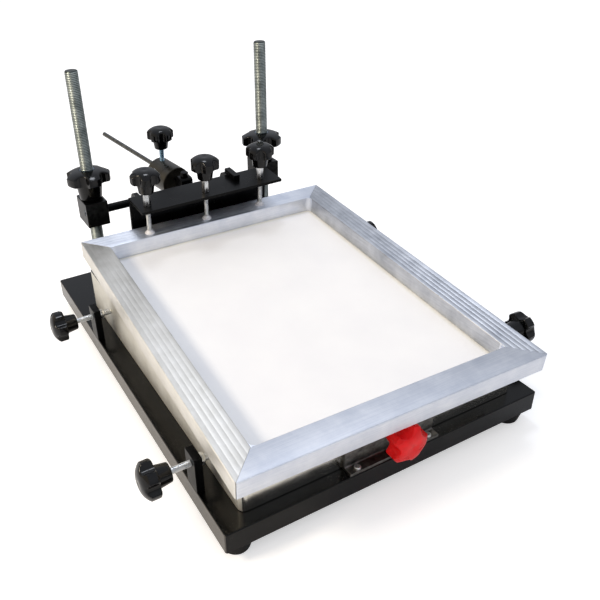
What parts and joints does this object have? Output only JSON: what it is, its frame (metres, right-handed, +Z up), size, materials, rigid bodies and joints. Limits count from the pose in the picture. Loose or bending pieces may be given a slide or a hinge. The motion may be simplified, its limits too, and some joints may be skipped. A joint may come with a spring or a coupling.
{
  "type": "tabletop screen printing press",
  "caption": "Tabletop screen printing press with a shifting flat platform, a screen frame in a screw clamp, threaded height columns, star knobs and a counterweight.",
  "frame": {"origin": "centre of the printing platform's top face", "axes": "+X the operator's right, +Y from the operator to the hinge columns, +Z up, square to the platform's top"},
  "size_m": [0.578, 0.8764, 0.3995],
  "materials": {
    "base_enamel": "gloss black enamel",
    "foot_rubber": "matt",
    "zinc_fastener": "bright zinc plate",
    "polished_sheet": "polished sheet",
    "core_board": "raw board",
    "glide_nylon": "natural nylon",
    "bracket_black": "satin black",
    "knob_black": "gloss",
    "knob_red": "gloss",
    "threaded_steel": "zinc plated thread",
    "block_black": "satin black",
    "sleeve_steel": "dark zinc plate",
    "channel_black": "satin black",
    "rail_aluminium": "mill finish",
    "mesh_fabric": "stretched polyester mesh",
    "foot_white": "gloss",
    "weight_steel": "turned and oiled",
    "rod_steel": "ground"
  },
  "bodies": {
    "base": {"base_tray": "base_enamel", "rubber_feet": "foot_rubber", "foot_screws": "zinc_fastener", "lock_bracket": "bracket_black", "lock_bracket_screws": "zinc_fastener", "adjuster_nuts": "zinc_fastener", "column_nuts": "zinc_fastener", "column_washers": "zinc_fastener", "left_column": "threaded_steel", "right_column": "threaded_steel", "left_front_bracket": "bracket_black", "left_rear_bracket": "bracket_black", "right_front_bracket": "bracket_black", "right_rear_bracket": "bracket_black"},
    "platform": {"platform_shell": "polished_sheet", "platform_core": "core_board", "corner_glides": "glide_nylon", "lock_nut": "zinc_fastener"},
    "lock_screw_body": {"lock_screw": "zinc_fastener"},
    "lock_knob_body": {"lock_knob": "knob_red"},
    "carriage": {"left_hinge_block": "block_black", "right_hinge_block": "block_black", "block_set_screws": "zinc_fastener"},
    "left_star_nut": {"left_nut_grip": "knob_black", "left_nut_sleeve": "sleeve_steel"},
    "right_star_nut": {"right_nut_grip": "knob_black", "right_nut_sleeve": "sleeve_steel"},
    "arm": {"hinge_shaft": "channel_black", "hinge_arms": "channel_black", "clamp_channel": "channel_black", "clamp_nuts": "zinc_fastener", "stop_bar": "channel_black", "rod_holder": "channel_black", "holder_bolt": "channel_black", "weight_rod": "rod_steel", "screen_mesh": "mesh_fabric", "frame_front_rail": "rail_aluminium", "frame_rear_rail": "rail_aluminium", "frame_left_rail": "rail_aluminium", "frame_right_rail": "rail_aluminium"},
    "weight": {"counterweight": "weight_steel"},
    "weight_screw_body": {"weight_screw": "zinc_fastener"},
    "weight_knob_body": {"weight_knob": "knob_black"},
    "left_front_screw_body": {"left_front_screw": "zinc_fastener"},
    "left_front_knob_body": {"left_front_knob": "knob_black"},
    "left_rear_screw_body": {"left_rear_screw": "zinc_fastener"},
    "left_rear_knob_body": {"left_rear_knob": "knob_black"},
    "right_front_screw_body": {"right_front_screw": "zinc_fastener"},
    "right_front_knob_body": {"right_front_knob": "knob_black"},
    "right_rear_screw_body": {"right_rear_screw": "zinc_fastener"},
    "right_rear_knob_body": {"right_rear_knob": "knob_black"},
    "left_foot_body": {"left_clamp_foot": "foot_white"},
    "left_clamp_body": {"left_clamp_screw": "zinc_fastener", "left_clamp_knob": "knob_black"},
    "middle_foot_body": {"middle_clamp_foot": "foot_white"},
    "middle_clamp_body": {"middle_clamp_screw": "zinc_fastener", "middle_clamp_knob": "knob_black"},
    "right_foot_body": {"right_clamp_foot": "foot_white"},
    "right_clamp_body": {"right_clamp_screw": "zinc_fastener", "right_clamp_knob": "knob_black"}
  },
  "joints": [
    {"name": "platform_slide", "type": "slide", "parent": "base", "child": "platform", "axis": [1, 0, 0], "range_m": [-0.008, 0.008]},
    {"name": "left_front_screw_slide", "type": "slide", "parent": "base", "child": "left_front_screw_body", "axis": [1, 0, 0], "range_m": [-0.0081, 0.0081]},
    {"name": "left_front_knob_turn", "type": "hinge", "parent": "left_front_screw_body", "child": "left_front_knob_body", "pos_m": [-0.253, -0.187, -0.0285], "axis": [1, 0, 0], "range_deg": [-2330, 2330]},
    {"name": "left_rear_screw_slide", "type": "slide", "parent": "base", "child": "left_rear_screw_body", "axis": [1, 0, 0], "range_m": [-0.0081, 0.0081]},
    {"name": "left_rear_knob_turn", "type": "hinge", "parent": "left_rear_screw_body", "child": "left_rear_knob_body", "pos_m": [-0.253, 0.159, -0.0285], "axis": [1, 0, 0], "range_deg": [-2330, 2330]},
    {"name": "right_front_screw_slide", "type": "slide", "parent": "base", "child": "right_front_screw_body", "axis": [1, 0, 0], "range_m": [-0.0081, 0.0081]},
    {"name": "right_front_knob_turn", "type": "hinge", "parent": "right_front_screw_body", "child": "right_front_knob_body", "pos_m": [0.253, -0.187, -0.0285], "axis": [1, 0, 0], "range_deg": [-2330, 2330]},
    {"name": "right_rear_screw_slide", "type": "slide", "parent": "base", "child": "right_rear_screw_body", "axis": [1, 0, 0], "range_m": [-0.0081, 0.0081]},
    {"name": "right_rear_knob_turn", "type": "hinge", "parent": "right_rear_screw_body", "child": "right_rear_knob_body", "pos_m": [0.253, 0.159, -0.0285], "axis": [1, 0, 0], "range_deg": [-2330, 2330]},
    {"name": "lock_screw_slide", "type": "slide", "parent": "platform", "child": "lock_screw_body", "axis": [0, -1, 0], "range_m": [0, 0.0025]},
    {"name": "lock_knob_turn", "type": "hinge", "parent": "lock_screw_body", "child": "lock_knob_body", "pos_m": [-0.002, -0.255, -0.0297], "axis": [0, -1, 0], "range_deg": [-1, 725]},
    {"name": "carriage_lift", "type": "slide", "parent": "base", "child": "carriage", "axis": [0, 0, 1], "range_m": [0, 0.14]},
    {"name": "left_nut_turn", "type": "hinge", "parent": "carriage", "child": "left_star_nut", "pos_m": [-0.159, 0.325, 0.09], "axis": [0, 0, 1], "range_deg": [-5, 20250]},
    {"name": "right_nut_turn", "type": "hinge", "parent": "carriage", "child": "right_star_nut", "pos_m": [0.159, 0.325, 0.09], "axis": [0, 0, 1], "range_deg": [-5, 20250]},
    {"name": "screen_lift", "type": "hinge", "parent": "carriage", "child": "arm", "pos_m": [0, 0.308, 0.0675], "axis": [-1, 0, 0], "range_deg": [0, 40]},
    {"name": "left_clamp_travel", "type": "slide", "parent": "arm", "child": "left_foot_body", "axis": [0, -0.0649, 0.9979], "range_m": [0, 0.02]},
    {"name": "left_clamp_turn", "type": "hinge", "parent": "left_foot_body", "child": "left_clamp_body", "pos_m": [-0.107, 0.20871, 0.06104], "axis": [0, -0.0649, 0.9979], "range_deg": [-5, 5780]},
    {"name": "middle_clamp_travel", "type": "slide", "parent": "arm", "child": "middle_foot_body", "axis": [0, -0.0649, 0.9979], "range_m": [0, 0.02]},
    {"name": "middle_clamp_turn", "type": "hinge", "parent": "middle_foot_body", "child": "middle_clamp_body", "pos_m": [-0.01, 0.20871, 0.06104], "axis": [0, -0.0649, 0.9979], "range_deg": [-5, 5780]},
    {"name": "right_clamp_travel", "type": "slide", "parent": "arm", "child": "right_foot_body", "axis": [0, -0.0649, 0.9979], "range_m": [0, 0.02]},
    {"name": "right_clamp_turn", "type": "hinge", "parent": "right_foot_body", "child": "right_clamp_body", "pos_m": [0.087, 0.20871, 0.06104], "axis": [0, -0.0649, 0.9979], "range_deg": [-5, 5780]},
    {"name": "weight_slide", "type": "slide", "parent": "arm", "child": "weight", "axis": [-0.165, 0.9842, 0.064], "range_m": [0, 0.17]},
    {"name": "weight_screw_slide", "type": "slide", "parent": "weight", "child": "weight_screw_body", "axis": [0, -0.0649, 0.9979], "range_m": [0, 0.003]},
    {"name": "weight_knob_turn", "type": "hinge", "parent": "weight_screw_body", "child": "weight_knob_body", "pos_m": [-0.01322, 0.37418, 0.08333], "axis": [0, -0.0649, 0.9979], "range_deg": [-1, 870]}
  ],
  "couplings": [
    {"joint": "left_front_screw_slide", "follows": "platform_slide", "ratio": 1},
    {"joint": "left_front_knob_turn", "follows": "platform_slide", "rad_per_m": 5026.5},
    {"joint": "left_rear_screw_slide", "follows": "platform_slide", "ratio": 1},
    {"joint": "left_rear_knob_turn", "follows": "platform_slide", "rad_per_m": 5026.5},
    {"joint": "right_front_screw_slide", "follows": "platform_slide", "ratio": 1},
    {"joint": "right_front_knob_turn", "follows": "platform_slide", "rad_per_m": 5026.5},
    {"joint": "right_rear_screw_slide", "follows": "platform_slide", "ratio": 1},
    {"joint": "right_rear_knob_turn", "follows": "platform_slide", "rad_per_m": 5026.5},
    {"joint": "lock_knob_turn", "follows": "lock_screw_slide", "rad_per_m": 5026.5},
    {"joint": "left_nut_turn", "follows": "carriage_lift", "rad_per_m": 2513.3},
    {"joint": "right_nut_turn", "follows": "carriage_lift", "rad_per_m": 2513.3},
    {"joint": "left_clamp_turn", "follows": "left_clamp_travel", "rad_per_m": 5026.5},
    {"joint": "middle_clamp_turn", "follows": "middle_clamp_travel", "rad_per_m": 5026.5},
    {"joint": "right_clamp_turn", "follows": "right_clamp_travel", "rad_per_m": 5026.5},
    {"joint": "weight_knob_turn", "follows": "weight_screw_slide", "rad_per_m": 5026.5}
  ]
}
